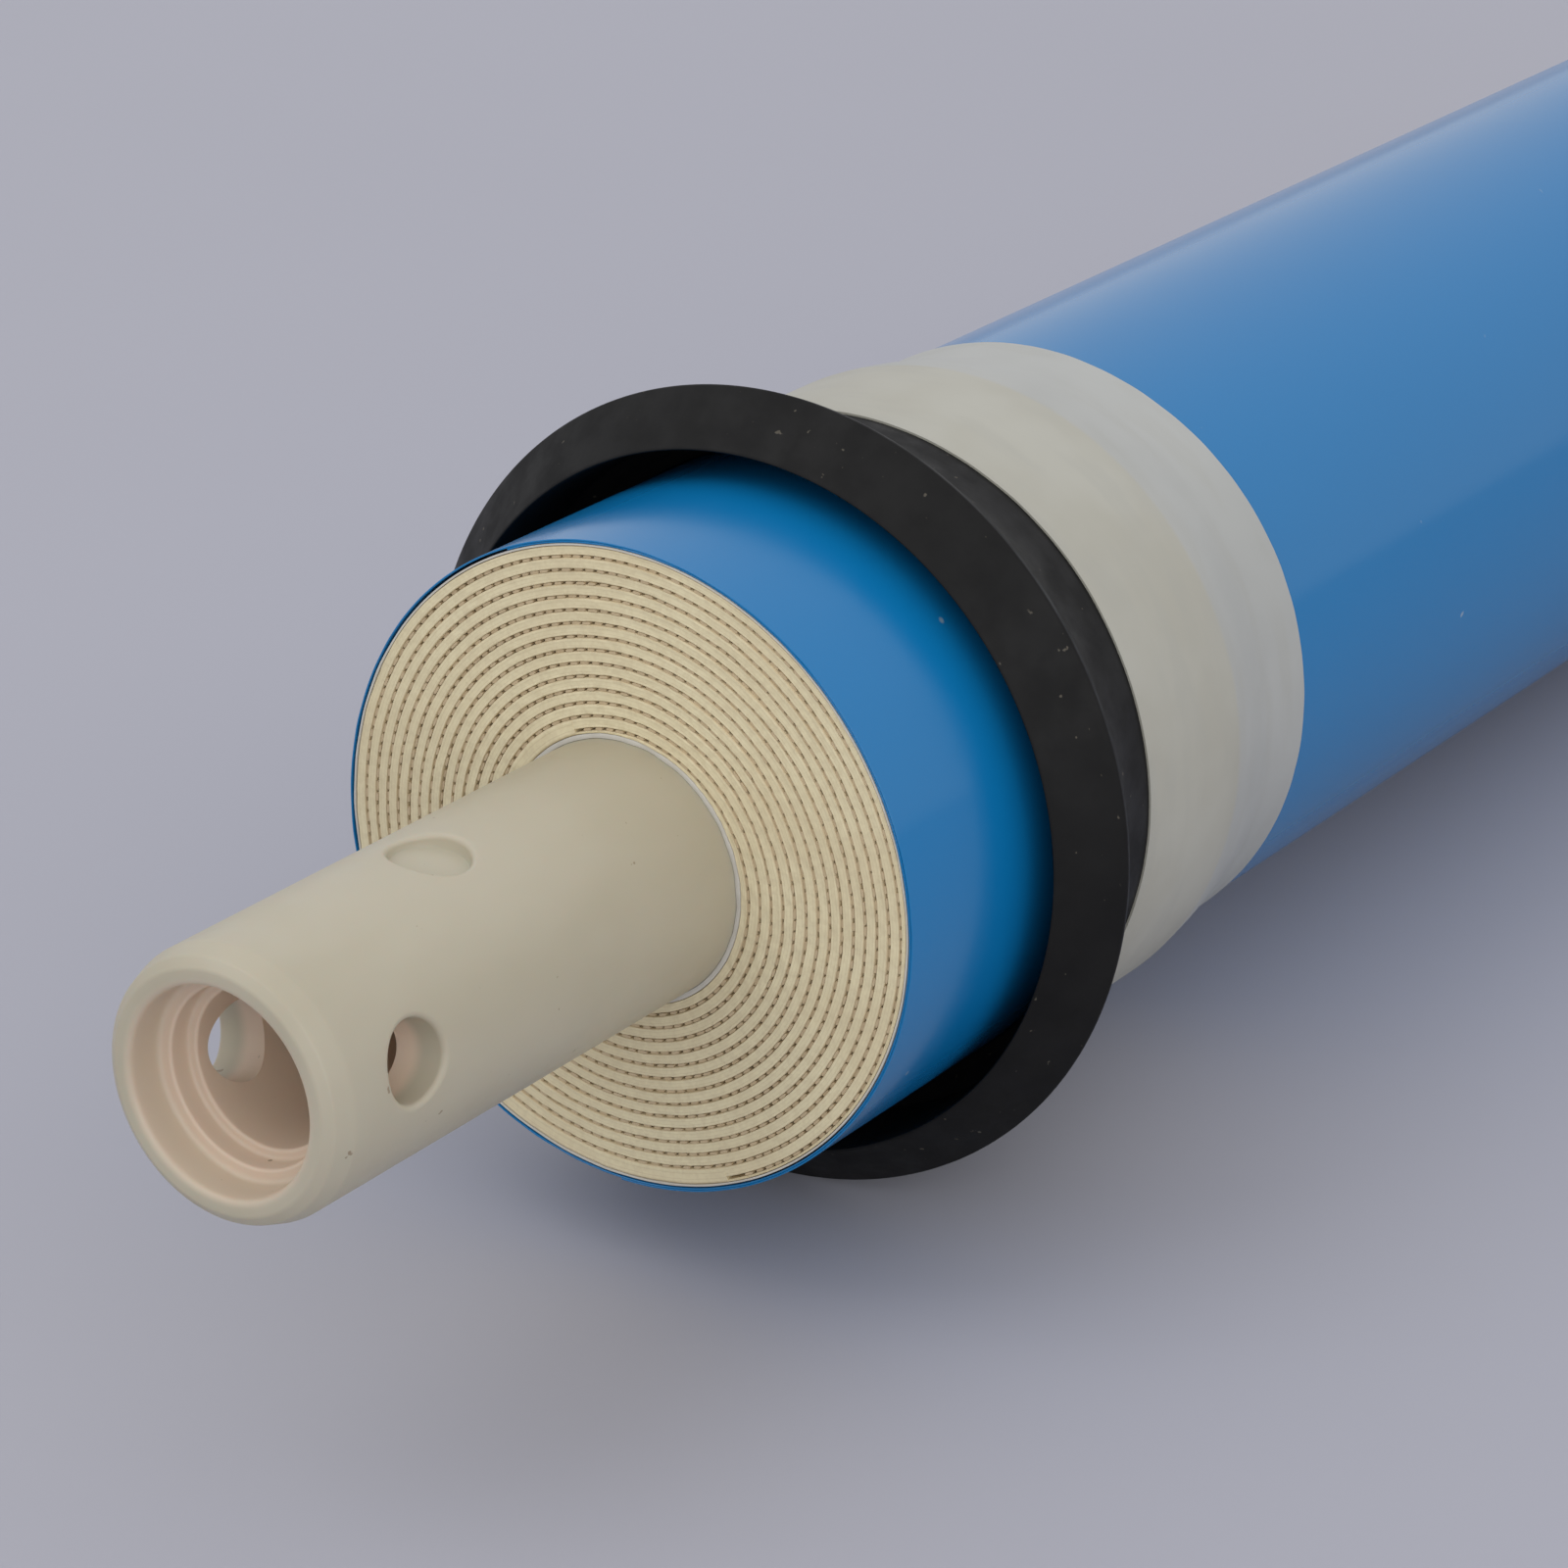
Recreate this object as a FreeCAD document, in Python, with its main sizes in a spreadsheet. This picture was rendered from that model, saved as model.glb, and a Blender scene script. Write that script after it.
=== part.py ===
import FreeCAD, Part
import math
import os

import Sketcher
from FreeCAD import Placement, Rotation, Vector

# Spiral-wound reverse osmosis membrane element, millimetres.
#
# The element's axis is X and +Z is up. The origin is on the axis, midway between the two
# ends of the permeate tube. -X is the feed end, with the long front stub and the brine
# seal, and +X is the product end, with the O-rings. An angle round the axis is counted
# from +Z towards -Y, which is clockwise when looking along +X.

os.makedirs("parts", exist_ok=True)
doc = FreeCAD.newDocument("membrane_element")

SIZES = {
    # Whole element
    "total_length": 298.0,
    "front_stub_length": 41.0,
    "rear_stub_length": 22.0,
    "element_diameter": 44.8,
    # Permeate tube
    "tube_diameter": 17.9,
    "bore_diameter": 10.4,
    "mouth_diameter": 13.5,
    "mouth_depth": 2.8,
    "seat_diameter": 11.7,
    "seat_depth": 4.4,
    "blind_bore_depth": 24.0,
    "blind_wall": 3.0,
    "rim_rounding": 1.3,
    "mouth_chamfer": 0.5,
    "pull_hole_diameter": 5.2,
    "pull_hole_inset": 8.0,
    "pull_hole_angle": 82.0,
    "recess_diameter": 5.2,
    "recess_depth": 1.1,
    "recess_inset": 19.8,
    "recess_angle": 6.0,
    "product_hole_diameter": 2.4,
    "product_hole_pitch": 57.0,
    "product_hole_inset": 32.0,
    "rear_stub_diameter": 17.3,
    "rear_chamfer": 0.8,
    # O-rings on the product end
    "ring_cord_diameter": 2.6,
    "ring_groove_width": 3.2,
    "ring_clearance": 0.02,
    "ring_proud": 0.7,
    "ring_inset": 5.5,
    "ring_pitch": 7.0,
    # Wound pack
    "carrier_thickness": 0.36,
    "leaf_thickness": 0.69,
    "feed_channel_width": 0.20,
    "layer_clearance": 0.01,
    "wrap_clearance": 0.05,
    "leaf_land": 0.15,
    "winding_start_angle": -22.0,
    "tape_thickness": 0.12,
    "film_thickness": 0.12,
    "film_start_angle": -23.0,
    "film_wrap_angle": 564.0,
    # Brine seal
    "seal_nose_inset": 13.2,
    "seal_lip_inset": 16.9,
    "seal_groove_width": 2.2,
    "seal_lip_rise": 3.6,
    "seal_waist_inset": 21.8,
    "seal_web_thickness": 0.6,
    "seal_sleeve_thickness": 1.15,
    "seal_sleeve_inset": 27.5,
    "seal_sleeve_length": 13.0,
    "seal_fit": 0.02,
    # Tape over the seal's sleeve
    "band_thickness": 0.15,
    "band_length": 23.6,
    "band_slope_length": 6.0,
}

sheet = doc.addObject("Spreadsheet::Sheet", "sizes")
for row, (alias, number) in enumerate(SIZES.items(), start=1):
    sheet.set(f"A{row}", alias)
    sheet.set(f"B{row}", str(number))
    sheet.setAlias(f"B{row}", alias)
doc.recompute()


def size(alias):
    """A driving dimension, read from the sheet."""
    return float(getattr(sheet, alias))


def value(expression):
    """The number that an expression on the sheet gives."""
    result = sheet.evalExpression(expression)
    return float(getattr(result, "Value", result))


# Places and radii that several pieces share, as expressions on the sheet.
FRONT_END = "-sizes.total_length / 2"
PACK_FRONT = "(-sizes.total_length / 2 + sizes.front_stub_length)"
PACK_LENGTH = "(sizes.total_length - sizes.front_stub_length - sizes.rear_stub_length)"
TUBE_RADIUS = "sizes.tube_diameter / 2"
CARRIER_RADIUS = "(sizes.tube_diameter / 2 + sizes.layer_clearance + sizes.carrier_thickness)"
ELEMENT_RADIUS = "sizes.element_diameter / 2"
FILM_GROWTH = "(sizes.film_thickness + sizes.layer_clearance)"
FILM_START_RADIUS = (
    f"({ELEMENT_RADIUS} - sizes.film_thickness - {FILM_GROWTH} * sizes.film_wrap_angle / 360)"
)
TAPE_RADIUS = f"({FILM_START_RADIUS} - sizes.wrap_clearance)"
PACK_RADIUS = f"({TAPE_RADIUS} - sizes.tape_thickness - sizes.wrap_clearance)"
SEAL_BORE_RADIUS = f"({ELEMENT_RADIUS} + sizes.seal_fit)"
SLEEVE_RADIUS = f"({SEAL_BORE_RADIUS} + sizes.seal_sleeve_thickness)"
NOSE_RADIUS = f"({ELEMENT_RADIUS} + sizes.seal_groove_width)"
RING_TOP_RADIUS = "(sizes.rear_stub_diameter / 2 + sizes.ring_proud)"
GROOVE_RADIUS = f"({RING_TOP_RADIUS} - sizes.ring_cord_diameter - sizes.ring_clearance)"


# ---------------------------------------------------------------- modelling helpers

def new_body(label, place):
    """A body whose own X = 0 stands at the given place along the element's axis."""
    body = doc.addObject("PartDesign::Body", label)
    body.Label = label
    body.setExpression("Placement.Base.x", place)
    return body


def origin_plane(body, role):
    """One of a body's own origin planes."""
    return next(item for item in body.Origin.OriginFeatures if item.Role == role)


def new_sketch(body, name, role):
    """An empty sketch on one of the body's origin planes."""
    sketch = body.newObject("Sketcher::SketchObject", name)
    sketch.AttachmentSupport = [(origin_plane(body, role), "")]
    sketch.MapMode = "FlatFace"
    return sketch


def fix_point(sketch, geometry, end, name, across, up):
    """Hold a point of the sketch at two expressions."""
    for kind, label, expression in (("DistanceX", "x", across), ("DistanceY", "y", up)):
        start_value = value(expression)
        index = sketch.addConstraint(
            Sketcher.Constraint(kind, -1, 1, geometry, end, start_value)
        )
        sketch.renameConstraint(index, f"{name}_{label}")
        sketch.setExpression(f"Constraints.{name}_{label}", expression)


def add_outline(sketch, outline):
    """A closed outline of straight sides. Each corner is (name, x, y)."""
    corners = [Vector(value(across), value(up), 0) for name, across, up in outline]
    count = len(outline)
    for index in range(count):
        side = Part.LineSegment(corners[index], corners[(index + 1) % count])
        sketch.addGeometry(side, False)
    for index in range(count):
        sketch.addConstraint(
            Sketcher.Constraint("Coincident", index, 2, (index + 1) % count, 1)
        )
    for index, (name, across, up) in enumerate(outline):
        fix_point(sketch, index, 1, name, across, up)


def add_circle(sketch, name, across, up, radius):
    """A circle held at two expressions and a radius."""
    centre = Vector(value(across), value(up), 0)
    index = sketch.addGeometry(Part.Circle(centre, Vector(0, 0, 1), value(radius)), False)
    fix_point(sketch, index, 3, name, across, up)
    radius_index = sketch.addConstraint(Sketcher.Constraint("Radius", index, value(radius)))
    sketch.renameConstraint(radius_index, f"{name}_radius")
    sketch.setExpression(f"Constraints.{name}_radius", radius)


def turned_body(label, place, outline):
    """A body turned about the element's axis from an outline of (along, radius) corners."""
    body = new_body(label, place)
    sketch = new_sketch(body, f"{label}_outline", "XZ_Plane")
    add_outline(sketch, outline)
    revolution = body.newObject("PartDesign::Revolution", f"{label}_turned")
    revolution.Profile = sketch
    revolution.ReferenceAxis = (sketch, ["H_Axis"])
    revolution.Angle = 360
    doc.recompute()
    return body


def ring_body(label, inner, outer):
    """A plain ring as long as the pack, padded along the element's axis."""
    body = new_body(label, PACK_FRONT)
    sketch = new_sketch(body, f"{label}_section", "YZ_Plane")
    add_circle(sketch, "outside", "0", "0", outer)
    add_circle(sketch, "inside", "0", "0", inner)
    pad = body.newObject("PartDesign::Pad", f"{label}_length")
    pad.Profile = sketch
    pad.setExpression("Length", PACK_LENGTH)
    doc.recompute()
    return body


def cut_must_bite(body, feature, before):
    """Stop if a cut that has just been made took nothing away."""
    doc.recompute()
    if not feature.Shape.Volume < before - 1e-3:
        raise RuntimeError(f"{body.Label}: {feature.Name} cuts nothing")


def rim_edges(shape, along, radius):
    """Names of a turned shape's round edges at a place and radius."""
    names = []
    for index, edge in enumerate(shape.Edges, start=1):
        curve = edge.Curve
        if not isinstance(curve, Part.Circle):
            continue
        if abs(curve.Radius - radius) < 1e-4 and abs(curve.Center.x - along) < 1e-4:
            names.append(f"Edge{index}")
    return names


# ---------------------------------------------------------------- permeate tube

def make_permeate_tube():
    """The moulded tube that the pack is wound on: a closed front stub with a stepped
    mouth, and a product bore that runs from the blind wall out of the rear stub."""
    body = turned_body("permeate_tube", FRONT_END, [
        ("front_rim", "0", TUBE_RADIUS),
        ("shoulder", "sizes.total_length - sizes.rear_stub_length", TUBE_RADIUS),
        ("stub_root", "sizes.total_length - sizes.rear_stub_length",
         "sizes.rear_stub_diameter / 2"),
        ("rear_rim", "sizes.total_length", "sizes.rear_stub_diameter / 2"),
        ("outlet", "sizes.total_length", "sizes.bore_diameter / 2"),
        ("bore_end", "sizes.blind_bore_depth + sizes.blind_wall", "sizes.bore_diameter / 2"),
        ("wall_rear", "sizes.blind_bore_depth + sizes.blind_wall", "0"),
        ("wall_front", "sizes.blind_bore_depth", "0"),
        ("blind_end", "sizes.blind_bore_depth", "sizes.bore_diameter / 2"),
        ("seat_foot", "sizes.seat_depth", "sizes.bore_diameter / 2"),
        ("seat_edge", "sizes.seat_depth", "sizes.seat_diameter / 2"),
        ("mouth_foot", "sizes.mouth_depth", "sizes.seat_diameter / 2"),
        ("mouth_edge", "sizes.mouth_depth", "sizes.mouth_diameter / 2"),
        ("mouth", "0", "sizes.mouth_diameter / 2"),
    ])

    base = body.Tip
    fillet = body.newObject("PartDesign::Fillet", "front_rim_rounding")
    fillet.Base = (base, rim_edges(base.Shape, 0.0, size("tube_diameter") / 2))
    fillet.setExpression("Radius", "sizes.rim_rounding")
    doc.recompute()

    for name, along, radius, width in (
        ("mouth_lead_in", 0.0, size("mouth_diameter") / 2, "mouth_chamfer"),
        ("rear_lead_in", size("total_length"), size("rear_stub_diameter") / 2, "rear_chamfer"),
    ):
        base = body.Tip
        chamfer = body.newObject("PartDesign::Chamfer", name)
        chamfer.Base = (base, rim_edges(base.Shape, along, radius))
        chamfer.setExpression("Size", f"sizes.{width}")
        doc.recompute()

    before = body.Shape.Volume
    groove_sketch = new_sketch(body, "ring_groove_section", "XZ_Plane")
    groove_front = (
        "sizes.total_length - sizes.ring_inset - sizes.ring_pitch - sizes.ring_groove_width / 2"
    )
    groove_back = f"{groove_front} + sizes.ring_groove_width"
    add_outline(groove_sketch, [
        ("front_foot", groove_front, GROOVE_RADIUS),
        ("front_top", groove_front, RING_TOP_RADIUS),
        ("back_top", groove_back, RING_TOP_RADIUS),
        ("back_foot", groove_back, GROOVE_RADIUS),
    ])
    groove = body.newObject("PartDesign::Groove", "ring_groove")
    groove.Profile = groove_sketch
    groove.ReferenceAxis = (groove_sketch, ["H_Axis"])
    groove.Angle = 360
    cut_must_bite(body, groove, before)
    grooves = body.newObject("PartDesign::LinearPattern", "ring_grooves")
    grooves.Originals = [groove]
    grooves.Direction = (groove_sketch, ["H_Axis"])
    grooves.setExpression("Length", "sizes.ring_pitch")
    grooves.Occurrences = 2
    body.Tip = grooves
    cut_must_bite(body, grooves, groove.Shape.Volume)

    before = body.Shape.Volume
    pull_sketch = new_sketch(body, "pull_hole_circle", "XY_Plane")
    pull_sketch.AttachmentOffset = Placement(Vector(), Rotation(Vector(1, 0, 0), 1))
    pull_sketch.setExpression("AttachmentOffset.Rotation.Angle", "sizes.pull_hole_angle * 1 deg")
    add_circle(pull_sketch, "pull_hole", "sizes.pull_hole_inset", "0",
               "sizes.pull_hole_diameter / 2")
    pull_hole = body.newObject("PartDesign::Pocket", "pull_holes")
    pull_hole.Profile = pull_sketch
    pull_hole.Midplane = True
    pull_hole.setExpression("Length", "2 * sizes.tube_diameter")
    cut_must_bite(body, pull_hole, before)

    before = body.Shape.Volume
    recess_sketch = new_sketch(body, "recess_circle", "XY_Plane")
    recess_sketch.AttachmentOffset = Placement(Vector(), Rotation(Vector(1, 0, 0), 1))
    turn = "sizes.recess_angle * 1 deg"
    recess_sketch.setExpression("AttachmentOffset.Rotation.Angle", turn)
    recess_sketch.setExpression("AttachmentOffset.Base.y", f"-{TUBE_RADIUS} * sin({turn})")
    recess_sketch.setExpression("AttachmentOffset.Base.z", f"{TUBE_RADIUS} * cos({turn})")
    add_circle(recess_sketch, "recess", "sizes.recess_inset", "0", "sizes.recess_diameter / 2")
    recess = body.newObject("PartDesign::Pocket", "top_recess")
    recess.Profile = recess_sketch
    recess.setExpression("Length", "sizes.recess_depth")
    cut_must_bite(body, recess, before)

    before = body.Shape.Volume
    hole_sketch = new_sketch(body, "product_hole_circle", "XY_Plane")
    add_circle(hole_sketch, "product_hole",
               "sizes.front_stub_length + sizes.product_hole_inset", "0",
               "sizes.product_hole_diameter / 2")
    product_hole = body.newObject("PartDesign::Pocket", "product_hole")
    product_hole.Profile = hole_sketch
    product_hole.Midplane = True
    product_hole.setExpression("Length", "2 * sizes.tube_diameter")
    cut_must_bite(body, product_hole, before)
    run = value(PACK_LENGTH) - 2 * size("product_hole_inset")
    holes = body.newObject("PartDesign::LinearPattern", "product_holes")
    holes.Originals = [product_hole]
    holes.Direction = (hole_sketch, ["H_Axis"])
    holes.Occurrences = max(2, int(run / size("product_hole_pitch")) + 1)
    holes.setExpression("Length", f"sizes.product_hole_pitch * {holes.Occurrences - 1}")
    body.Tip = holes
    cut_must_bite(body, holes, product_hole.Shape.Volume)
    return body


def make_o_ring(label, inset):
    """A rubber ring seated in its groove, at a place counted back from the rear end. Its
    cord is drawn with twelve sides."""
    cord = "sizes.ring_cord_diameter / 2"
    outline = []
    for corner in range(12):
        turn = f"{30 * corner} deg"
        outline.append((
            f"corner_{corner}", f"{cord} * sin({turn})",
            f"{RING_TOP_RADIUS} + {cord} * (cos({turn}) - 1)",
        ))
    turned_body(label, f"sizes.total_length / 2 - ({inset})", outline)


# ---------------------------------------------------------------- wound layers

# Straight edges that stand for each half circle of the pack's many turns.
CHORDS = 10


def polar(radius, angle):
    """A point round the axis, at an angle in degrees from +Z towards -Y."""
    turn = math.radians(angle)
    return Vector(0, -radius * math.sin(turn), radius * math.cos(turn))


def winding_edges(start_radius, growth, start_angle, sweep, chords):
    """Edges of a spiral made of half circles round two centres, growing by the same
    amount every turn. The centres lie a half growth apart, so that two such spirals
    with one growth, start and sweep stay the same distance apart all the way. With
    chords, that many straight edges stand for each half circle."""
    shift = growth / 4
    edges = []
    done = 0.0
    index = 0
    while done < sweep - 1e-6:
        part = min(180.0, sweep - done)
        centre = polar(shift if index % 2 else -shift, start_angle)
        radius = start_radius + shift + index * growth / 2
        first = start_angle + done
        arc = Part.Arc(
            centre + polar(radius, first),
            centre + polar(radius, first + part / 2),
            centre + polar(radius, first + part),
        ).toShape()
        if chords:
            edges += Part.makePolygon(arc.discretize(Number=chords + 1)).Edges
        else:
            edges.append(arc)
        done += part
        index += 1
    return edges


def strip_face(start_radius, thickness, growth, start_angle, sweep, chords=0):
    """The cross-section of a strip that is wound in a spiral."""
    inner = winding_edges(start_radius, growth, start_angle, sweep, chords)
    outer = winding_edges(start_radius + thickness, growth, start_angle, sweep, chords)
    first_end = Part.makeLine(inner[0].Vertexes[0].Point, outer[0].Vertexes[0].Point)
    last_end = Part.makeLine(inner[-1].Vertexes[-1].Point, outer[-1].Vertexes[-1].Point)
    wire = Part.Wire(Part.__sortEdges__([first_end] + inner + [last_end] + outer))
    return Part.Face(wire)


def ring_face(inner_radius, outer_radius):
    """A flat ring across the element's axis."""
    axis = Vector(1, 0, 0)
    wires = [Part.Wire(Part.makeCircle(radius, Vector(), axis))
             for radius in (outer_radius, inner_radius)]
    return Part.makeFace(wires, "Part::FaceMakerBullseye")


def wound_feature(label, face, length, place):
    """A section drawn out along the axis, set at its place."""
    feature = doc.addObject("Part::Feature", label)
    feature.Label = label
    feature.Shape = face.extrude(Vector(length, 0, 0))
    feature.Placement = Placement(Vector(place, 0, 0), Rotation())
    return feature


def make_wound_pack():
    """The rolled membrane leaves as one solid, with the spiral feed channel open from end
    to end between their turns."""
    channel = size("feed_channel_width")
    pitch = size("leaf_thickness") + channel
    core_radius = value(CARRIER_RADIUS) + size("layer_clearance")
    pack_radius = value(PACK_RADIUS)
    start_radius = core_radius + size("leaf_land")
    room = pack_radius - size("leaf_land") - channel - start_radius
    half_turns = int(room / (pitch / 2) + 1e-6)
    channel_face = strip_face(
        start_radius, channel, pitch, size("winding_start_angle"), 180.0 * half_turns,
        chords=CHORDS,
    )
    leaf_face = ring_face(core_radius, pack_radius).cut(channel_face)
    wound_feature("membrane_pack", leaf_face.Faces[0], value(PACK_LENGTH), value(PACK_FRONT))


def make_outer_wrap():
    """The plastic film that closes the pack, lapped over itself."""
    face = strip_face(
        value(FILM_START_RADIUS), size("film_thickness"), value(FILM_GROWTH),
        size("film_start_angle"), size("film_wrap_angle"),
    )
    wound_feature("outer_wrap", face, value(PACK_LENGTH), value(PACK_FRONT))


# ---------------------------------------------------------------- seal and its tape

def make_brine_seal():
    """The rubber seal: a sleeve on the wrap, and a flared lip round a deep groove that is
    open to the feed."""
    sleeve_end = "sizes.seal_sleeve_inset + sizes.seal_sleeve_length"
    turned_body("brine_seal", PACK_FRONT, [
        ("nose", "sizes.seal_nose_inset", NOSE_RADIUS),
        ("lip", "sizes.seal_lip_inset", f"{NOSE_RADIUS} + sizes.seal_lip_rise"),
        ("waist", "sizes.seal_waist_inset", f"{NOSE_RADIUS} + sizes.seal_web_thickness"),
        ("sleeve_front", "sizes.seal_sleeve_inset", SLEEVE_RADIUS),
        ("sleeve_back", sleeve_end, SLEEVE_RADIUS),
        ("bore_back", sleeve_end, SEAL_BORE_RADIUS),
        ("bore_front", "sizes.seal_waist_inset", SEAL_BORE_RADIUS),
        ("groove_foot", "sizes.seal_waist_inset", NOSE_RADIUS),
    ])


def make_seal_tape():
    """The tape that holds the seal: over its sleeve, down the slope and onto the wrap."""
    under = f"{SLEEVE_RADIUS} + sizes.layer_clearance"
    low = f"{ELEMENT_RADIUS} + sizes.layer_clearance"
    front = "sizes.seal_sleeve_inset"
    step = "sizes.seal_sleeve_inset + sizes.seal_sleeve_length"
    foot = f"{step} + sizes.band_slope_length"
    back = f"{front} + sizes.band_length"
    thick = "sizes.band_thickness"
    turned_body("seal_tape", PACK_FRONT, [
        ("front_top", front, f"{under} + {thick}"),
        ("step_top", step, f"{under} + {thick}"),
        ("foot_top", foot, f"{low} + {thick}"),
        ("back_top", back, f"{low} + {thick}"),
        ("back_under", back, low),
        ("foot_under", foot, low),
        ("step_under", step, under),
        ("front_under", front, under),
    ])


make_permeate_tube()
ring_body("permeate_carrier", "sizes.tube_diameter / 2 + sizes.layer_clearance", CARRIER_RADIUS)
make_wound_pack()
ring_body("leaf_tape", f"{TAPE_RADIUS} - sizes.tape_thickness", TAPE_RADIUS)
make_outer_wrap()
make_brine_seal()
make_seal_tape()
make_o_ring("o_ring_outer", "sizes.ring_inset")
make_o_ring("o_ring_inner", "sizes.ring_inset + sizes.ring_pitch")

doc.recompute()

SUB_PARTS = (
    "permeate_tube", "permeate_carrier", "membrane_pack", "leaf_tape", "outer_wrap",
    "brine_seal", "seal_tape", "o_ring_inner", "o_ring_outer",
)
for item in doc.Objects:
    if "Invalid" in item.State or "Error" in item.State:
        raise RuntimeError(f"{item.Label} failed: {item.State}")
for label in SUB_PARTS:
    shape = doc.getObjectsByLabel(label)[0].Shape
    if shape.isNull() or not shape.isValid() or len(shape.Solids) != 1:
        raise RuntimeError(f"{label} is not one valid solid")
for label in SUB_PARTS:
    shape = doc.getObjectsByLabel(label)[0].Shape
    shape.exportStep(os.path.join("parts", f"{label}.step"))
    print(f"{label}: {shape.Volume:.1f} mm3, x {shape.BoundBox.XMin:.2f} to {shape.BoundBox.XMax:.2f}")
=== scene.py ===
import math
import random

import bmesh
import bpy
from mathutils import Matrix, Vector, noise


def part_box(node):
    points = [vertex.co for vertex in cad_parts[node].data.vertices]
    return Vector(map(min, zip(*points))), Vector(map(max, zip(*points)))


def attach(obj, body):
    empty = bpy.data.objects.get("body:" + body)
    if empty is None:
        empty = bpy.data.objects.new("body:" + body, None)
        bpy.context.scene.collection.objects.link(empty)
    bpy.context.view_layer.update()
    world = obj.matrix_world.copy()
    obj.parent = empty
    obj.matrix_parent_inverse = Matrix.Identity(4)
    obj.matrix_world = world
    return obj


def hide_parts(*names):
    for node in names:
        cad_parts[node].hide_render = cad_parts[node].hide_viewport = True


# Spiral-wound membrane element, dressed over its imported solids. Sizes are millimetres,
# turned into metres when a mesh is made. An angle round the axis is counted from +Z
# towards -Y, as it is in the solids.

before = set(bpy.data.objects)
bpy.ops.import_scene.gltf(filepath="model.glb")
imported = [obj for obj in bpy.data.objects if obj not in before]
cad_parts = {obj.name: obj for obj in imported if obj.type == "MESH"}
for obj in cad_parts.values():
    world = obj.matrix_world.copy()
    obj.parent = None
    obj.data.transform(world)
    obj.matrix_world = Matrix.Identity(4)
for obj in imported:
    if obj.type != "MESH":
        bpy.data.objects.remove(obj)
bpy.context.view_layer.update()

MM = 0.001

# Ends of the tube and of the wound pack along X, and the main radii.
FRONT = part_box("permeate_tube")[0].x / MM
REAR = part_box("permeate_tube")[1].x / MM
PACK_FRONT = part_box("membrane_pack")[0].x / MM
PACK_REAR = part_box("membrane_pack")[1].x / MM
TUBE_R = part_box("permeate_tube")[1].z / MM
BODY_R = 22.4

# The seal's lip, and the start of its web, behind the pack's front face.
LIP_INSET, LIP_R = 16.9, 28.2
WAIST_INSET = 21.8

# The tape's front edge, the end of the seal's sleeve under it, and its rear edge.
TAPE_INSET, SLEEVE_END_INSET, TAPE_END_INSET = 27.5, 40.5, 51.1


# ------------------------------------------------------------------- mesh helpers

def polar(radius, angle):
    """(y, z) of a point round the axis."""
    turn = math.radians(angle)
    return -radius * math.sin(turn), radius * math.cos(turn)


def behind_face(inset):
    """The place along X at a distance behind the pack's front face."""
    return PACK_FRONT + inset


def joined_rows(rows, count, wrap=False, base=0):
    """Faces between neighbouring rows of points. Each row is a closed loop, and wrap
    joins the last row to the first."""
    faces = []
    for row in range(rows if wrap else rows - 1):
        following = (row + 1) % rows
        for index in range(count):
            ahead = (index + 1) % count
            faces.append((
                base + row * count + index, base + row * count + ahead,
                base + following * count + ahead, base + following * count + index,
            ))
    return faces


def make_object(name, points, faces, uvs=None, sharp=32):
    """A mesh object from points in millimetres, smooth apart from its sharp edges."""
    mesh = bpy.data.meshes.new(name)
    mesh.from_pydata([(x * MM, y * MM, z * MM) for x, y, z in points], [], faces)
    if uvs:
        layer = mesh.uv_layers.new(name="UVMap")
        for loop in mesh.loops:
            layer.data[loop.index].uv = uvs[loop.vertex_index]
    item = bpy.data.objects.new(name, mesh)
    bpy.context.scene.collection.objects.link(item)
    finish_shading(item, sharp)
    return item


def finish_shading(item, sharp):
    """Outward faces, smooth shading and sharp creases."""
    work = bmesh.new()
    work.from_mesh(item.data)
    bmesh.ops.remove_doubles(work, verts=work.verts, dist=1e-7)
    bmesh.ops.recalc_face_normals(work, faces=work.faces)
    if work.calc_volume(signed=True) < 0:
        bmesh.ops.reverse_faces(work, faces=work.faces)
    work.to_mesh(item.data)
    work.free()
    item.data.polygons.foreach_set("use_smooth", [True] * len(item.data.polygons))
    item.data.set_sharp_from_angle(angle=math.radians(sharp))


def rounded(corners, steps=5):
    """A closed (x, radius) outline whose corners (x, radius, rounding) are rounded."""
    outline = []
    count = len(corners)
    for index, (x, r, rounding) in enumerate(corners):
        here = Vector((x, r))
        back = Vector(corners[index - 1][:2]) - here
        ahead = Vector(corners[(index + 1) % count][:2]) - here
        if rounding <= 0:
            outline.append(tuple(here))
            continue
        half = back.angle(ahead) / 2
        cut = min(rounding / math.tan(half), 0.48 * back.length, 0.48 * ahead.length)
        start = here + back.normalized() * cut
        end = here + ahead.normalized() * cut
        for step in range(steps + 1):
            t = step / steps
            outline.append(tuple(start * (1 - t) ** 2 + here * 2 * t * (1 - t) + end * t * t))
    return outline


def divided(outline, spacing, low, high):
    """The outline with more points on its straight runs between two places along X."""
    dense = []
    count = len(outline)
    for index, point in enumerate(outline):
        following = outline[(index + 1) % count]
        dense.append(point)
        if max(point[0], following[0]) < low or min(point[0], following[0]) > high:
            continue
        parts = int(math.dist(point, following) / spacing)
        for part in range(1, parts):
            t = part / parts
            x = point[0] + (following[0] - point[0]) * t
            if low <= x <= high:
                dense.append((x, point[1] + (following[1] - point[1]) * t))
    return dense


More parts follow.
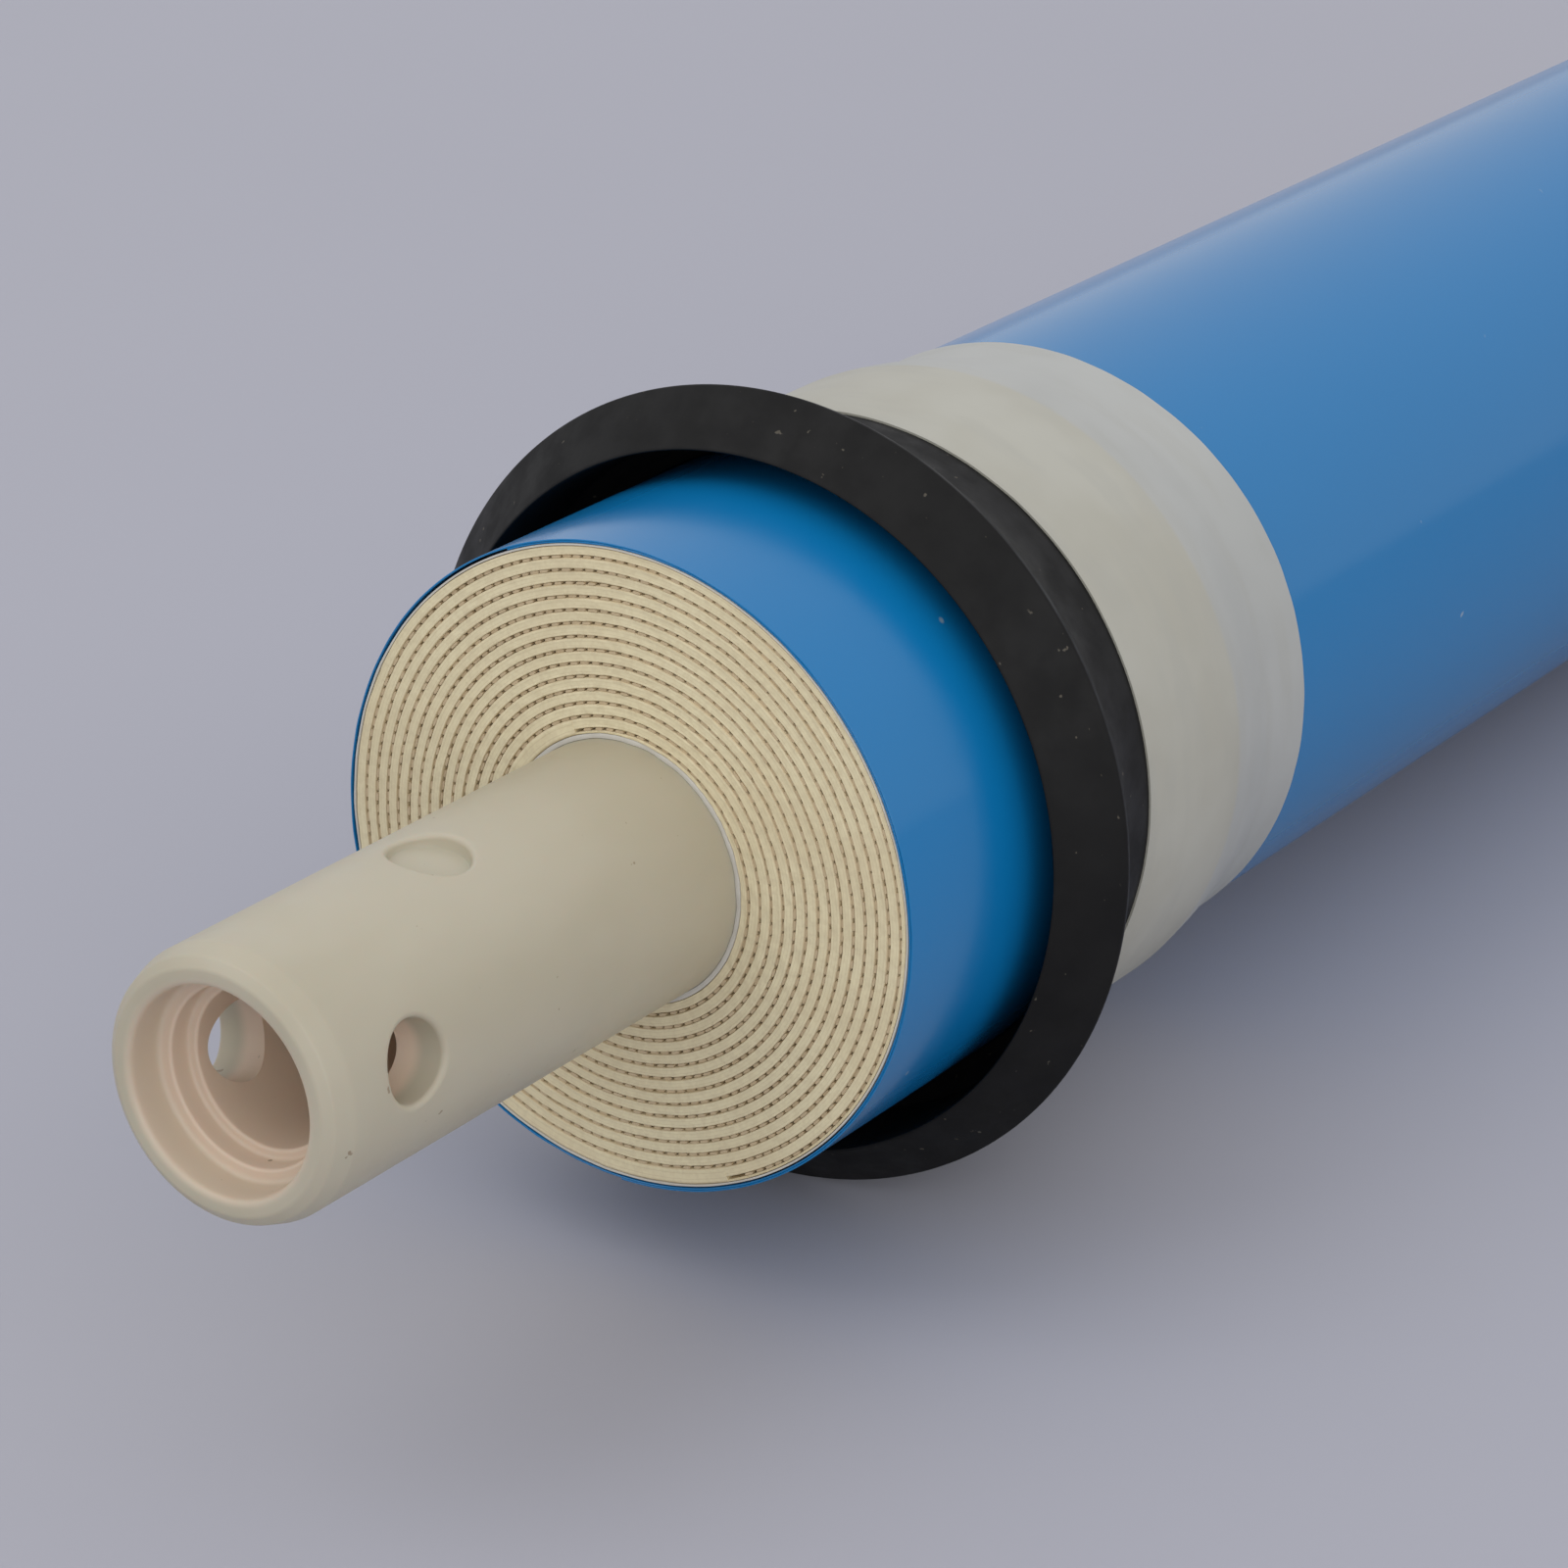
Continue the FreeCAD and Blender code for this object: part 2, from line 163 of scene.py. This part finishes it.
def turned(name, outline, segments, shape=None, sharp=32):
    """A closed (x, radius) outline turned about the axis. shape(x, r, angle) may move
    each point."""
    points = []
    for segment in range(segments):
        angle = 360 * segment / segments
        for x, r in outline:
            if shape:
                x, r = shape(x, r, angle)
            y, z = polar(r, angle)
            points.append((x, y, z))
    count = len(outline)
    off_axis = [
        max(r, outline[(index + 1) % count][1]) > 1e-6 for index, (_, r) in enumerate(outline)
    ]
    faces = [face for face in joined_rows(segments, count, wrap=True) if off_axis[face[0] % count]]
    return make_object(name, points, faces, sharp=sharp)


def on_spiral(start, growth, start_angle, turn, out=0.0):
    """(y, z) on the spiral of half circles that the solids are wound on."""
    index = int(turn // 180)
    shift = growth / 4
    centre = polar(shift if index % 2 else -shift, start_angle)
    point = polar(start + shift + index * growth / 2 + out, start_angle + turn)
    return centre[0] + point[0], centre[1] + point[1]


def wobble(*place):
    """Smooth noise between about -1 and 1."""
    return noise.noise(Vector(place)) * 1.6


# ------------------------------------------------------------------- material helpers

class Nodes:
    """A material's node tree, with short calls for the nodes used here."""

    def __init__(self, name, color, roughness, **sockets):
        self.material = bpy.data.materials.new(name)
        self.material.use_nodes = True
        self.material.diffuse_color = (*color, 1)
        self.tree = self.material.node_tree
        self.shader = self.tree.nodes["Principled BSDF"]
        self.shader.inputs["Base Color"].default_value = (*color, 1)
        self.shader.inputs["Roughness"].default_value = roughness
        for socket, number in sockets.items():
            self.shader.inputs[socket.replace("_", " ")].default_value = number
        self.coords = self.tree.nodes.new("ShaderNodeTexCoord")

    def add(self, kind, values=None, **settings):
        node = self.tree.nodes.new(kind)
        for name, setting in settings.items():
            setattr(node, name, setting)
        for socket, given in (values or {}).items():
            if isinstance(given, bpy.types.NodeSocket):
                self.tree.links.new(given, node.inputs[socket])
            else:
                node.inputs[socket].default_value = given
        return node

    def mapped(self, scale):
        """The object coordinates, stretched."""
        node = self.add("ShaderNodeMapping", {"Vector": self.coords.outputs["Object"]})
        node.inputs["Scale"].default_value = scale
        return node.outputs[0]

    def noise(self, scale, detail=4.0, stretch=(1, 1, 1)):
        node = self.add("ShaderNodeTexNoise", {
            "Vector": self.mapped(stretch), "Scale": scale, "Detail": detail,
            "Roughness": 0.55,
        })
        return node.outputs["Fac"]

    def ramp(self, factor, low, high, start=0.0, end=1.0):
        """A factor spread from low..high to start..end, and held at its ends."""
        node = self.add("ShaderNodeMapRange", {
            "Value": factor, "From Min": low, "From Max": high, "To Min": start,
            "To Max": end,
        }, interpolation_type="SMOOTHSTEP")
        return node.outputs[0]

    def mix(self, factor, first, second):
        node = self.add("ShaderNodeMix", data_type="RGBA")
        for socket, given in ((0, factor), (6, first), (7, second)):
            if isinstance(given, bpy.types.NodeSocket):
                self.tree.links.new(given, node.inputs[socket])
            elif socket == 0:
                node.inputs[0].default_value = given
            else:
                node.inputs[socket].default_value = (*given, 1)
        return node.outputs[2]

    def math(self, operation, first, second=0.0):
        node = self.add("ShaderNodeMath", {0: first, 1: second}, operation=operation)
        return node.outputs[0]

    def bump(self, height, strength, distance, normal=None):
        node = self.add("ShaderNodeBump", {
            "Height": height, "Strength": strength, "Distance": distance * MM,
        })
        if normal:
            self.tree.links.new(normal, node.inputs["Normal"])
        return node.outputs[0]

    def place(self):
        """The object coordinates in millimetres, split."""
        scaled = self.add("ShaderNodeVectorMath", {
            0: self.coords.outputs["Object"], "Scale": 1 / MM,
        }, operation="SCALE")
        split = self.add("ShaderNodeSeparateXYZ", {0: scaled.outputs[0]})
        return split.outputs

    def set(self, **links):
        for socket, output in links.items():
            self.tree.links.new(output, self.shader.inputs[socket.replace("_", " ")])
        return self.material


def dress(item, material, slot, *nodes):
    """Give a piece its material and body, and hide the solids it stands for. The slot is not used.
    """
    item.data.materials.clear()
    item.data.materials.append(material)
    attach(item, "root")
    if nodes:
        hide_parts(*nodes)


# ------------------------------------------------------------------- materials

def tube_material():
    m = Nodes("ivory_moulded_plastic", (0.56, 0.51, 0.415), 0.42, Subsurface_Weight=0.12,
              Subsurface_Scale=0.0015)
    cloud = m.ramp(m.noise(70, 3, (0.5, 1, 1)), 0.35, 0.7)
    color = m.mix(cloud, (0.50, 0.455, 0.345), (0.45, 0.405, 0.295))
    _, y, z = m.place()
    radius = m.math("SQRT", m.math("ADD", m.math("POWER", y, 2.0), m.math("POWER", z, 2.0)))
    # Painted light: the inside of the bore and the mouth is painted a lighter, warmer colour than
    # the outer wall, standing in for the light seen inside the tube.
    painted_light_inside = m.ramp(radius, 6.3, 7.4, 1.0, 0.0)
    color = m.mix(painted_light_inside, color, (0.70, 0.56, 0.43))
    specks = m.ramp(m.noise(900, 2), 0.735, 0.76)
    color = m.mix(specks, color, (0.30, 0.24, 0.16))
    rough = m.ramp(m.noise(160, 4), 0.3, 0.7, 0.36, 0.5)
    grain = m.bump(m.noise(700, 3, (0.35, 1, 1)), 0.25, 0.05)
    waves = m.bump(m.noise(55, 2, (1.6, 1, 1)), 0.35, 0.25, grain)
    return m.set(Base_Color=color, Roughness=rough, Normal=waves)


def leaf_material():
    m = Nodes("cut_membrane_edges", (0.74, 0.65, 0.44), 0.8)
    split = m.add("ShaderNodeSeparateXYZ", {0: m.coords.outputs["UV"]}).outputs
    across = split[1]
    cream = m.mix(m.ramp(m.noise(120, 3), 0.3, 0.7), (0.80, 0.715, 0.475), (0.75, 0.655, 0.425))
    fibres = m.ramp(m.noise(2600, 2), 0.42, 0.62)
    cream = m.mix(m.math("MULTIPLY", fibres, 0.35), cream, (0.66, 0.56, 0.36))
    from_edge = m.math("ABSOLUTE", m.math("SUBTRACT", across, 0.5))
    tint = m.ramp(from_edge, 0.36, 0.5, 0.0, 0.5)
    color = m.mix(tint, cream, (0.56, 0.43, 0.26))
    from_seam = m.math("ABSOLUTE", m.math("SUBTRACT", from_edge, 0.19))
    seam = m.ramp(from_seam, 0.0, 0.05, 0.35, 0.0)
    color = m.mix(seam, color, (0.55, 0.43, 0.26))
    bump = m.bump(m.noise(2200, 3), 0.5, 0.08)
    return m.set(Base_Color=color, Normal=bump)


def net_material():
    m = Nodes("spacer_net_strands", (0.58, 0.45, 0.27), 0.6)
    color = m.mix(m.noise(900, 2), (0.50, 0.385, 0.225), (0.64, 0.51, 0.33))
    return m.set(Base_Color=color)


def white_material():
    m = Nodes("white_fabric_edge", (0.64, 0.62, 0.56), 0.75)
    color = m.mix(m.noise(800, 3), (0.66, 0.64, 0.58), (0.56, 0.53, 0.46))
    return m.set(Base_Color=color, Normal=m.bump(m.noise(1800, 3), 0.4, 0.06))


def film_material():
    m = Nodes("glossy_blue_film", (0.004, 0.175, 0.43), 0.18, Specular_IOR_Level=0.42)
    tone = m.ramp(m.noise(14, 2, (0.4, 1, 1)), 0.3, 0.7)
    color = m.mix(tone, (0.004, 0.182, 0.445), (0.004, 0.168, 0.415))
    specks = m.ramp(m.noise(420, 1), 0.80, 0.83)
    color = m.mix(specks, color, (0.25, 0.36, 0.46))
    rough = m.ramp(m.noise(60, 5, (0.15, 1, 1)), 0.3, 0.75, 0.13, 0.24)
    soft = m.bump(m.noise(30, 2, (0.25, 1, 1)), 0.12, 0.5)
    fine = m.bump(m.noise(900, 2), 0.05, 0.02, soft)
    return m.set(Base_Color=color, Roughness=rough, Normal=fine)


def rubber_material(name, dust):
    m = Nodes(name, (0.007, 0.0066, 0.0062), 0.6, Specular_IOR_Level=0.19)
    color = m.mix(m.ramp(m.noise(220, 4), 0.3, 0.75), (0.0055, 0.0052, 0.0050),
                  (0.009, 0.0086, 0.0080))
    if dust:
        specks = m.ramp(m.noise(1500, 2), 0.72, 0.76)
        color = m.mix(m.math("MULTIPLY", specks, 0.7), color, (0.12, 0.105, 0.08))
    rough = m.ramp(m.noise(300, 4), 0.3, 0.7, 0.46, 0.64)
    bump = m.bump(m.noise(1100, 3), 0.3, 0.04)
    return m.set(Base_Color=color, Roughness=rough, Normal=bump)


def tape_material():
    m = Nodes("satin_tape", (0.43, 0.43, 0.395), 0.45)
    along = m.place()[0]
    step = m.ramp(along, behind_face(39.3), behind_face(40.1))
    warm = m.mix(m.ramp(m.noise(90, 3), 0.3, 0.7), (0.465, 0.455, 0.39), (0.425, 0.41, 0.34))
    cool = m.mix(m.ramp(m.noise(70, 3), 0.3, 0.7), (0.45, 0.455, 0.43), (0.41, 0.415, 0.39))
    color = m.mix(step, warm, cool)
    fibres = m.ramp(m.noise(420, 2, (1, 0.25, 0.25)), 0.45, 0.7)
    color = m.mix(m.math("MULTIPLY", fibres, 0.25), color, (0.38, 0.375, 0.33))
    wave = m.bump(m.noise(45, 3), 0.35, 0.35)
    return m.set(Base_Color=color, Normal=m.bump(m.noise(900, 3), 0.18, 0.05, wave))


IVORY = tube_material()
CREAM = leaf_material()
NET = net_material()
WHITE = white_material()
BLUE = film_material()
SEAL = rubber_material("matt_seal_rubber", True)
RING = rubber_material("ring_rubber_black", False)
TAPE = tape_material()


# ------------------------------------------------------------------- permeate tube

PULL_X, PULL_ANGLE, PULL_R = FRONT + 8.0, 82.0, 2.6
RECESS_X, RECESS_ANGLE, RECESS_R, RECESS_DEPTH = FRONT + 19.8, 6.0, 2.6, 1.1
BORE_R, STUB_R = 5.2, 8.65
MOUTH_R, MOUTH_DEPTH = 6.75, 2.8
SEAT_R, SEAT_DEPTH = 5.85, 4.4
BLIND_END, BORE_END = FRONT + 24, FRONT + 27

# The O-rings: places back from the rear end, the cord, and the grooves they sit in.
RING_INSETS = {"o_ring_outer": 5.5, "o_ring_inner": 12.5}
RING_R, CORD_R = 8.05, 1.3
GROOVE_R, GROOVE_HALF_WIDTH = 6.73, 1.6


def drill(name, x, angle, levels, segments=72):
    """A round cutter across the tube. Each level is (radius, rise, flat): the rise is
    from the tube's own surface, or from its axis where flat is true."""
    radial = Vector((0, *polar(1, angle)))
    side = Vector((0, *polar(1, angle + 90)))
    rings = []
    for radius, rise, flat in levels:
        ring = []
        for step in range(segments):
            turn = 2 * math.pi * step / segments
            across = radius * math.sin(turn)
            height = rise if flat else math.sqrt(TUBE_R ** 2 - across ** 2) + rise
            ring.append(Vector((x + radius * math.cos(turn), 0, 0))
                        + side * across + radial * height)
        rings.append(ring)
    points = [tuple(p) for ring in rings for p in ring]
    faces = joined_rows(len(rings), segments)
    faces.append(tuple(range(segments)))
    faces.append(tuple(range((len(rings) - 1) * segments, len(rings) * segments)))
    return make_object(name, points, faces)


def flare(radius, rounding):
    """Levels of a rounded hole rim, from outside inwards."""
    first = math.radians(16)
    out = radius + rounding * (1 - math.sin(first))
    drop = rounding * (1 - math.cos(first))
    levels = [
        (out + 1.2, TUBE_R + 3, True), (out + 1.2, 1.2 * math.tan(first) - drop, False),
    ]
    for step in range(7):
        turn = first + (math.pi / 2 - first) * step / 6
        levels.append((
            radius + rounding * (1 - math.sin(turn)), -rounding * (1 - math.cos(turn)), False,
        ))
    return levels


def cut_from(item, cutters):
    """Take the cutters away from a piece and drop them."""
    for cutter in cutters:
        modifier = item.modifiers.new("cut", "BOOLEAN")
        modifier.operation = "DIFFERENCE"
        modifier.solver = "MANIFOLD"
        modifier.object = cutter
    graph = bpy.context.evaluated_depsgraph_get()
    mesh = bpy.data.meshes.new_from_object(item.evaluated_get(graph))
    item.modifiers.clear()
    item.data = mesh
    for cutter in cutters:
        bpy.data.objects.remove(cutter)
    finish_shading(item, 30)


def make_tube():
    grooves = []
    for inset in reversed(RING_INSETS.values()):
        front, back = REAR - inset - GROOVE_HALF_WIDTH, REAR - inset + GROOVE_HALF_WIDTH
        grooves += [(front, STUB_R, 0.15), (front, GROOVE_R, 0.2),
                    (back, GROOVE_R, 0.2), (back, STUB_R, 0.15)]
    corners = [
        (FRONT, 7.85, 0.5), (FRONT + 0.5, 8.5, 0.5), (FRONT + 1.9, TUBE_R, 1.2),
        (PACK_REAR, TUBE_R, 0.1), (PACK_REAR, STUB_R, 0.1),
        *grooves, (REAR, STUB_R, 1.2), (REAR, BORE_R, 0.35), (BORE_END, BORE_R, 0.3),
        (BORE_END, 0, 0), (BLIND_END, 0, 0), (BLIND_END, BORE_R, 0.5),
        (FRONT + SEAT_DEPTH, BORE_R, 0.25), (FRONT + SEAT_DEPTH, SEAT_R, 0.3),
        (FRONT + MOUTH_DEPTH, SEAT_R, 0.25), (FRONT + MOUTH_DEPTH, MOUTH_R, 0.45),
        (FRONT, MOUTH_R, 0.75),
    ]
    outline = divided(rounded(corners, 6), 0.45, FRONT, BORE_END + 0.5)
    item = turned("tube", outline, 200, sharp=30)
    through = flare(PULL_R, 0.45)
    mirrored = [(r, -rise, flat) for r, rise, flat in reversed(through)]
    cutter = drill("pull_cutter", PULL_X, PULL_ANGLE, through + [(PULL_R, 0.0, True)])
    other = drill("pull_cutter_far", PULL_X, PULL_ANGLE + 180, through + [(PULL_R, -0.5, True)])
    recess = flare(RECESS_R, 0.4)
    floor = TUBE_R - RECESS_DEPTH
    recess += [(RECESS_R - 0.02, floor + 0.25, True), (RECESS_R - 0.1, floor + 0.08, True),
               (RECESS_R - 0.3, floor, True)]
    dimple = drill("recess_cutter", RECESS_X, RECESS_ANGLE, recess)
    cut_from(item, [cutter, other, dimple])
    dress(item, IVORY, "tube_plastic", "permeate_tube")


# ------------------------------------------------------------------- wound pack

CHANNEL, PITCH, SPIRAL_R, SPIRAL_ANGLE, HALF_TURNS = 0.20, 0.89, 9.48, -22.0, 27
CORE_R, PACK_R = 9.33, 21.856
LINER_INNER_R, LINER_OUTER_R = 21.90, 22.03
STRAND_LENGTH, STRAND_HALF_HEIGHT = 1.6, 0.085


def band(points, faces, uvs, inner, outer, low, high, seed):
    """A strip of cut sheet edges between two lines, open to both ends of the pack."""
    profile = (0.0, 0.05, 0.2, 0.32, 0.5, 0.68, 0.8, 0.95, 1.0)
    steps = max(2, int((high - low) / 1.5))
    base = len(points)
    count = 2 * len(profile)
    for step in range(steps + 1):
        turn = low + (high - low) * step / steps
        a = Vector(inner(turn))
        b = Vector(outer(turn))
        travelled = math.radians(turn) * a.length
        rise = 0.07 * wobble(turn / 40, seed, 3.1) + 0.035 * wobble(turn / 6, seed, 8.4)
        for end, sign in ((PACK_FRONT, -1), (PACK_REAR, 1)):
            row = profile if sign < 0 else profile[::-1]
            for t in row:
                p = a.lerp(b, t)
                edge = 0.07 if t in (0.0, 1.0) else (0.012 if t in (0.05, 0.95) else 0.0)
                dip = 0.025 if t in (0.32, 0.68) else 0.0
                local = rise + 0.03 * wobble(p.x * 2.1, p.y * 2.1, 5.0 + t)
                inwards = max(0.0, 0.1 + local + edge + dip)
                points.append((end - sign * inwards, p.x, p.y))
                uvs.append((travelled / 10, t))
    faces += joined_rows(steps + 1, count, base=base)
    for row in (0, steps):
        start = base + row * count
        half = count // 2
        for index in range(half - 1):
            faces.append((start + index, start + index + 1,
                          start + count - 2 - index, start + count - 1 - index))


def make_pack():
    sweep = 180 * HALF_TURNS

    def line(out, ahead=0.0):
        return lambda turn: on_spiral(SPIRAL_R, PITCH, SPIRAL_ANGLE, turn + ahead, out)

    def circle(radius):
        return lambda turn: polar(radius, SPIRAL_ANGLE + turn)

    points, faces, uvs = [], [], []
    band(points, faces, uvs, circle(CORE_R), line(0.0), 0, 360, 1.0)
    band(points, faces, uvs, line(CHANNEL), line(0.0, 360), 0, sweep - 360, 2.0)
    band(points, faces, uvs, line(CHANNEL), circle(PACK_R), sweep - 360, sweep - 1e-3, 2.0)
    pack = make_object("wound_leaves", points, faces, uvs, sharp=50)
    dress(pack, CREAM, "membrane", "membrane_pack")

    rng = random.Random(7)
    points, faces = [], []
    for end, sign in ((PACK_FRONT, 1), (PACK_REAR, -1)):
        turn = 6.0
        while turn < sweep - 4:
            middle = Vector(on_spiral(SPIRAL_R, PITCH, SPIRAL_ANGLE, turn, CHANNEL / 2))
            out = middle.normalized()
            along = Vector((-out.y, out.x))
            half_width = rng.uniform(0.26, 0.35)
            top = end + sign * rng.uniform(0.12, 0.24)
            bottom = end + sign * STRAND_LENGTH
            base = len(points)
            for x in (top, bottom):
                for u, v in ((-1, -0.6), (-0.6, -1), (0.6, -1), (1, -0.6),
                             (1, 0.6), (0.6, 1), (-0.6, 1), (-1, 0.6)):
                    p = middle + along * (u * half_width) + out * (v * STRAND_HALF_HEIGHT)
                    points.append((x, p.x, p.y))
            faces.append(tuple(base + k for k in range(8)))
            faces += joined_rows(2, 8, base=base)
            turn += math.degrees(rng.uniform(0.78, 0.96) / middle.length)
    net = make_object("feed_net", points, faces)
    dress(net, NET, "membrane", "membrane_pack")

    def carrier_end(x, r, angle):
        inwards = 1 if x < 0 else -1
        return x + (0.06 * wobble(angle / 9, 4.0, 1.0) + 0.08) * inwards, r

    def liner_end(x, r, angle):
        inwards = 1 if x < 0 else -1
        return x + (0.05 * wobble(angle / 7, 9.0, 1.0) + 0.06) * inwards, r

    front, back = PACK_FRONT + 0.02, PACK_REAR - 0.02
    ring = turned("inner_carrier", rounded([
        (front, TUBE_R + 0.02, 0.03), (front, CORE_R - 0.03, 0.05),
        (back, CORE_R - 0.03, 0.05), (back, TUBE_R + 0.02, 0.03),
    ], 2), 180, carrier_end)
    dress(ring, WHITE, "carrier_fabric", "permeate_carrier")
    liner = turned("leaf_liner", rounded([
        (front, LINER_INNER_R, 0.02), (front, LINER_OUTER_R, 0.02),
        (back, LINER_OUTER_R, 0.02), (back, LINER_INNER_R, 0.02),
    ], 2), 240, liner_end)
    dress(liner, WHITE, "white_tape", "leaf_tape")


# ------------------------------------------------------------------- blue film

FILM_R, FILM_GROWTH, FILM_ANGLE, FILM_SWEEP, FILM_THICK = 22.0763, 0.13, -23.0, 564.0, 0.12


def make_film():
    # Each point across the film's edge: out from its inner side, and back from the end.
    across = ((0.0, 0.03), (0.03, 0.0), (FILM_THICK - 0.03, 0.0), (FILM_THICK, 0.03))
    steps = 564
    points = []
    for step in range(steps + 1):
        turn = min(FILM_SWEEP * step / steps, FILM_SWEEP - 1e-3)
        edge = 0.05 + 0.05 * wobble(turn / 30, 2.0, 6.0) + 0.03 * wobble(turn / 5, 1.0, 3.0)
        for end, sign in ((PACK_FRONT, 1), (PACK_REAR, -1)):
            row = across if sign > 0 else across[::-1]
            for out, back in row:
                y, z = on_spiral(FILM_R, FILM_GROWTH, FILM_ANGLE, turn, out)
                points.append((end + sign * (max(0.0, edge) + back), y, z))
    count = 2 * len(across)
    faces = joined_rows(steps + 1, count)
    for row in (0, steps):
        faces.append(tuple(row * count + index for index in range(count)))
    film = make_object("blue_film", points, faces)
    dress(film, BLUE, "blue_film", "outer_wrap")


# ------------------------------------------------------------------- seal, tape, rings

SLEEVE_R, SLEEVE_BORE_R = 23.57, 22.44
BACK_STEPS, BACK_SAG = 16, 1.2


def make_seal():
    # The hollow back of the lip sags below a straight line from its rim to the sleeve.
    back = []
    for step in range(1, BACK_STEPS):
        t = step / BACK_STEPS
        sag = BACK_SAG * math.sin(math.pi * t) ** 0.9
        back.append((behind_face(17.6 + 9.4 * t), 27.85 - 4.15 * t - sag, 0))
    corners = [
        (behind_face(13.2), 24.62, 0.16), (behind_face(LIP_INSET), LIP_R, 0.28),
        (behind_face(17.5), 27.95, 0.15), *back,
        (behind_face(27.6), SLEEVE_R, 0.1), (behind_face(SLEEVE_END_INSET), SLEEVE_R, 0.3),
        (behind_face(SLEEVE_END_INSET), SLEEVE_BORE_R, 0.1),
        (behind_face(22.4), SLEEVE_BORE_R, 0.2), (behind_face(WAIST_INSET), 23.2, 0.3),
        (behind_face(20.5), 24.3, 0.6),
    ]
    seal = turned("seal", rounded(corners, 5), 320, sharp=40)
    dress(seal, SEAL, "seal_rubber", "brine_seal")


TAPE_THICK = 0.15
TAPE_TOP = (
    (TAPE_INSET, 23.73), (33, 23.74), (39.4, 23.75), (39.9, 23.66), (40.6, 23.62),
    (42.4, 23.34), (44.2, 22.99), (45.6, 22.72), (46.6, 22.6), (48.5, 22.565), (51.0, 22.56),
)


def uneven_tape(x, r, angle):
    """The tape's edges wander a little, and its slope is slightly puckered."""
    inset = x - PACK_FRONT
    across, up = math.sin(math.radians(angle)), math.cos(math.radians(angle))
    if inset < TAPE_INSET + 1.5:
        x += 0.10 * wobble(across * 2, up * 2, 1.0)
        x += 0.03 * wobble(angle / 6, 4.0, 0.0)
    if inset > TAPE_END_INSET - 2.1:
        x += 0.22 * wobble(across * 1.5, up * 1.5, 7.0)
        x += 0.04 * wobble(angle / 5, 2.0, 0.0)
    if 40 < inset < 50:
        r += 0.05 * wobble(across * 4, up * 4, inset / 3)
    return min(x, behind_face(TAPE_END_INSET)), r


def make_tape():
    outline = [(behind_face(inset), r) for inset, r in TAPE_TOP]
    outline += [(behind_face(inset), r - TAPE_THICK) for inset, r in reversed(TAPE_TOP)]
    tape = turned("tape", outline, 320, uneven_tape, sharp=40)
    dress(tape, TAPE, "grey_tape", "seal_tape")


def make_rings():
    for name, inset in RING_INSETS.items():
        outline = []
        for step in range(28):
            turn = 2 * math.pi * step / 28
            outline.append((
                REAR - inset + CORD_R * math.sin(turn), RING_R + CORD_R * math.cos(turn),
            ))
        ring = turned(name + "_round", outline, 120, sharp=60)
        dress(ring, RING, "ring_rubber", name)


make_tube()
make_pack()
make_film()
make_seal()
make_tape()
make_rings()


# ------------------------------------------------------------------- floor, light, camera

# The element lies on the seal's lip and on the rear edge of its wrap, so the floor
# slopes against its axis.
LIP_X = behind_face(LIP_INSET)
SLOPE = (LIP_R - BODY_R) / (PACK_REAR - LIP_X)


def make_floor():
    half = 4000
    points = []
    for x in (-half, half):
        for y in (-half, half):
            points.append((x, y, -LIP_R + SLOPE * (x - LIP_X)))
    floor = make_object("floor", points, [(0, 2, 3, 1)])
    m = Nodes("pale_floor", (0.43, 0.43, 0.485), 0.7)
    color = m.mix(m.noise(6, 3), (0.44, 0.44, 0.495), (0.415, 0.415, 0.468))
    floor.data.materials.append(m.set(Base_Color=color))


def make_world():
    world = bpy.data.worlds.new("studio")
    bpy.context.scene.world = world
    world.use_nodes = True
    tree = world.node_tree
    background = tree.nodes["Background"]
    coords = tree.nodes.new("ShaderNodeTexCoord")
    split = tree.nodes.new("ShaderNodeSeparateXYZ")
    tree.links.new(coords.outputs["Generated"], split.inputs[0])
    ramp = tree.nodes.new("ShaderNodeValToRGB")
    tree.links.new(split.outputs[2], ramp.inputs[0])
    ramp.color_ramp.elements[0].position = 0.0
    ramp.color_ramp.elements[0].color = (0.78, 0.785, 0.81, 1)
    ramp.color_ramp.elements[1].position = 0.85
    ramp.color_ramp.elements[1].color = (0.90, 0.905, 0.94, 1)
    tree.links.new(ramp.outputs[0], background.inputs["Color"])
    background.inputs["Strength"].default_value = 0.88


def area_lamp(name, place, target, size, power):
    data = bpy.data.lights.new(name, "AREA")
    data.shape = "RECTANGLE"
    data.size, data.size_y = size
    data.energy = power
    lamp = bpy.data.objects.new(name, data)
    bpy.context.scene.collection.objects.link(lamp)
    lamp.location = place
    lamp.rotation_euler = (Vector(target) - Vector(place)).to_track_quat("-Z", "Y").to_euler()


def make_camera():
    data = bpy.data.cameras.new("camera")
    data.lens = 119.25
    data.sensor_width = 36
    data.clip_start = 0.01
    camera = bpy.data.objects.new("camera", data)
    bpy.context.scene.collection.objects.link(camera)
    forward = Vector((0.7764, 0.5107, -0.369)).normalized()
    right = Vector((0.5494, -0.8355, 0)).normalized()
    up = right.cross(forward)
    pan = math.radians(-0.5)
    ahead = forward * math.cos(pan) + right * math.sin(pan)
    side = right * math.cos(pan) - forward * math.sin(pan)
    camera.matrix_world = Matrix((
        (side.x, up.x, -ahead.x, -0.3606),
        (side.y, up.y, -ahead.y, -0.1823),
        (side.z, up.z, -ahead.z, 0.1296),
        (0, 0, 0, 1),
    ))
    bpy.context.scene.camera = camera


make_floor()
make_world()
area_lamp("key", (-0.75, 0.55, 1.25), (-0.05, 0, 0), (0.9, 0.9), 3.2)
area_lamp("fill", (-0.85, -1.0, 0.5), (-0.05, 0, 0), (1.4, 1.0), 4.6)
make_camera()
bpy.context.scene.view_settings.view_transform = "Standard"
